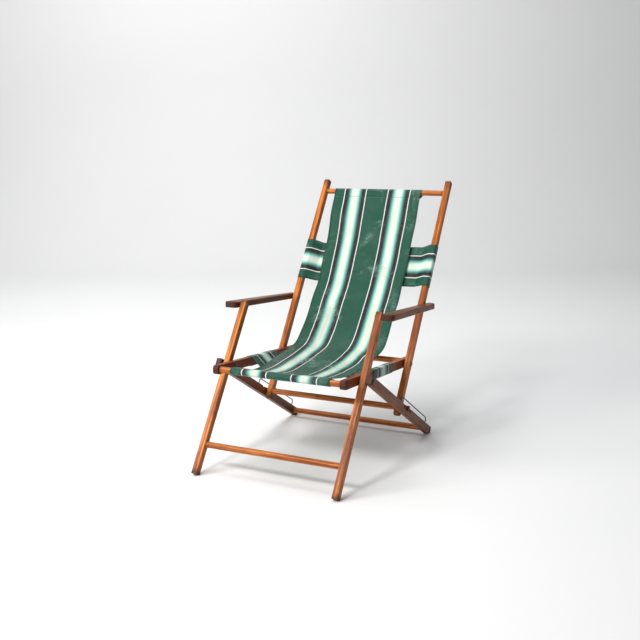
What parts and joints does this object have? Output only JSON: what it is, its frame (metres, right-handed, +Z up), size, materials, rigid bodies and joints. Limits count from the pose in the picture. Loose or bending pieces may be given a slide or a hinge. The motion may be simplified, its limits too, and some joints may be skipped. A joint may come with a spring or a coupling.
{
  "type": "folding deck chair",
  "caption": "Folding timber deck chair with arms: legs and back pivoted on the seat rails, notched rear legs with guard wires, and a striped canvas sling hung between two dowels over two bands.",
  "frame": {"origin": "on the floor under the middle of the box", "axes": "+X is the sitter's left, +Z is up, and the sitter faces -Y"},
  "size_m": [0.6218, 1.0032, 0.8967],
  "materials": {
    "varnished_wood": "orange-brown varnish, worn and darkened at the ends",
    "striped_canvas": "dark green glazed cotton canvas with lengthwise stripes",
    "guard_wire": "dull dark steel wire",
    "fastener_steel": "dull zinc-plated steel",
    "nail_steel": "dark steel"
  },
  "bodies": {
    "back_frame": {"left_back_post": "varnished_wood", "right_back_post": "varnished_wood", "top_dowel": "varnished_wood", "lower_dowel": "varnished_wood", "left_post_pivot_bolt": "fastener_steel", "right_post_pivot_bolt": "fastener_steel", "post_pivot_nuts": "fastener_steel", "arm_rear_screws": "fastener_steel", "post_washers": "fastener_steel", "post_nails": "nail_steel", "back_band": "striped_canvas", "sling": "striped_canvas"},
    "seat_frame": {"left_seat_rail": "varnished_wood", "right_seat_rail": "varnished_wood", "front_dowel": "varnished_wood", "rear_dowel": "varnished_wood", "rail_nails": "nail_steel", "seat_band": "striped_canvas"},
    "front_legs": {"left_front_leg": "varnished_wood", "right_front_leg": "varnished_wood", "front_stretcher": "varnished_wood", "leg_nails": "nail_steel", "left_seat_pivot_bolt": "fastener_steel", "right_seat_pivot_bolt": "fastener_steel", "seat_pivot_nuts": "fastener_steel", "arm_front_screws": "fastener_steel", "leg_washers": "fastener_steel"},
    "arm_left": {"left_arm": "varnished_wood"},
    "arm_right": {"right_arm": "varnished_wood"},
    "rear_legs": {"left_rear_leg": "varnished_wood", "right_rear_leg": "varnished_wood", "rear_stretcher": "varnished_wood", "rear_leg_nails": "nail_steel", "left_guard_wire": "guard_wire", "right_guard_wire": "guard_wire", "left_dowel_end": "varnished_wood", "right_dowel_end": "varnished_wood"}
  },
  "joints": [
    {"name": "seat_fold", "type": "hinge", "parent": "back_frame", "child": "seat_frame", "pos_m": [0, 0.09426, 0.28835], "axis": [-1, 0, 0], "range_deg": [0, 109.8], "deforming": ["sling"]},
    {"name": "front_leg_fold", "type": "hinge", "parent": "seat_frame", "child": "front_legs", "pos_m": [0, -0.2832, 0.31938], "axis": [-1, 0, 0], "range_deg": [-110, 0]},
    {"name": "left_arm_fold", "type": "hinge", "parent": "back_frame", "child": "arm_left", "pos_m": [0, 0.21403, 0.4693], "axis": [-1, 0, 0], "range_deg": [0, 110]},
    {"name": "right_arm_fold", "type": "hinge", "parent": "back_frame", "child": "arm_right", "pos_m": [0, 0.21403, 0.4693], "axis": [-1, 0, 0], "range_deg": [0, 110]},
    {"name": "rear_leg_fold", "type": "hinge", "parent": "front_legs", "child": "rear_legs", "pos_m": [0, -0.2832, 0.31938], "axis": [-1, 0, 0], "range_deg": [0, 89.5]}
  ],
  "couplings": [
    {"joint": "front_leg_fold", "follows": "seat_fold", "ratio": -1},
    {"joint": "left_arm_fold", "follows": "seat_fold", "ratio": 1},
    {"joint": "right_arm_fold", "follows": "seat_fold", "ratio": 1},
    {"joint": "rear_leg_fold", "follows": "seat_fold", "ratio": 0.8137}
  ]
}
